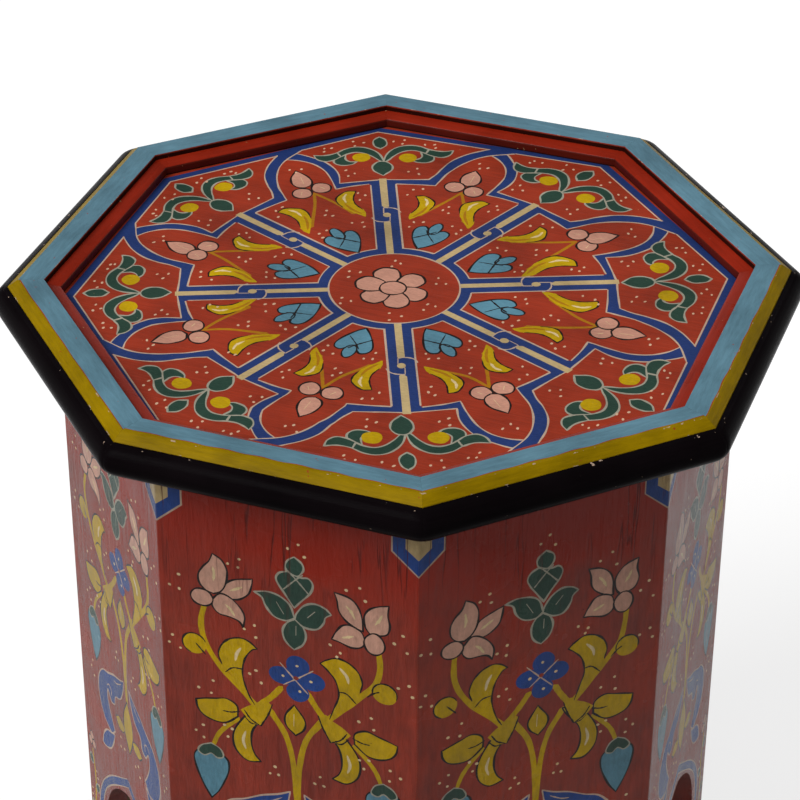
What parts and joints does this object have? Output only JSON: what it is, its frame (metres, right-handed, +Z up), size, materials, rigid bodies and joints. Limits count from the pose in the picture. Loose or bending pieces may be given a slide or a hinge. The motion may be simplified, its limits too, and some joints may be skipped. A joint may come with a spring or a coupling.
{
  "type": "octagonal stool",
  "caption": "Octagonal painted wooden stool or low table: framed flat top with raised rim on a hollow body of arched side panels.",
  "frame": {"origin": "on the floor, under the middle of the top", "axes": "+Z up through the middle of the stool; the panels numbered 1, 3, 5 and 7 face +X, +Y, -X and -Y"},
  "size_m": [0.396, 0.396, 0.46],
  "materials": {
    "field_paint": "satin red paint with blue, green, yellow and pink floral decoration",
    "rim_paint": "satin pale blue paint, mustard on the outer bevel",
    "bead_paint": "gloss red paint",
    "nosing_paint": "gloss black paint",
    "panel_paint": "gloss dark red paint with floral decoration",
    "bare_wood": "bare sawn softwood",
    "screw_steel": "plain steel"
  },
  "bodies": {
    "root": {"top_board": "field_paint", "rim_strip_1": "rim_paint", "rim_strip_2": "rim_paint", "rim_strip_3": "rim_paint", "rim_strip_4": "rim_paint", "rim_strip_5": "rim_paint", "rim_strip_6": "rim_paint", "rim_strip_7": "rim_paint", "rim_strip_8": "rim_paint", "rim_bead_1": "bead_paint", "rim_bead_2": "bead_paint", "rim_bead_3": "bead_paint", "rim_bead_4": "bead_paint", "rim_bead_5": "bead_paint", "rim_bead_6": "bead_paint", "rim_bead_7": "bead_paint", "rim_bead_8": "bead_paint", "edge_nosing_1": "nosing_paint", "edge_nosing_2": "nosing_paint", "edge_nosing_3": "nosing_paint", "edge_nosing_4": "nosing_paint", "edge_nosing_5": "nosing_paint", "edge_nosing_6": "nosing_paint", "edge_nosing_7": "nosing_paint", "edge_nosing_8": "nosing_paint", "side_panel_1": "panel_paint", "side_panel_2": "panel_paint", "side_panel_3": "panel_paint", "side_panel_4": "panel_paint", "side_panel_5": "panel_paint", "side_panel_6": "panel_paint", "side_panel_7": "panel_paint", "side_panel_8": "panel_paint", "corner_block_1": "bare_wood", "corner_block_2": "bare_wood", "corner_block_3": "bare_wood", "corner_block_4": "bare_wood", "corner_block_5": "bare_wood", "corner_block_6": "bare_wood", "corner_block_7": "bare_wood", "corner_block_8": "bare_wood", "top_cleat_1": "bare_wood", "top_cleat_2": "bare_wood", "top_cleat_3": "bare_wood", "top_cleat_4": "bare_wood", "top_cleat_5": "bare_wood", "top_cleat_6": "bare_wood", "top_cleat_7": "bare_wood", "top_cleat_8": "bare_wood", "cleat_screw_1": "screw_steel", "cleat_screw_2": "screw_steel", "cleat_screw_3": "screw_steel", "cleat_screw_4": "screw_steel", "cleat_screw_5": "screw_steel", "cleat_screw_6": "screw_steel", "cleat_screw_7": "screw_steel", "cleat_screw_8": "screw_steel"}
  },
  "joints": []
}
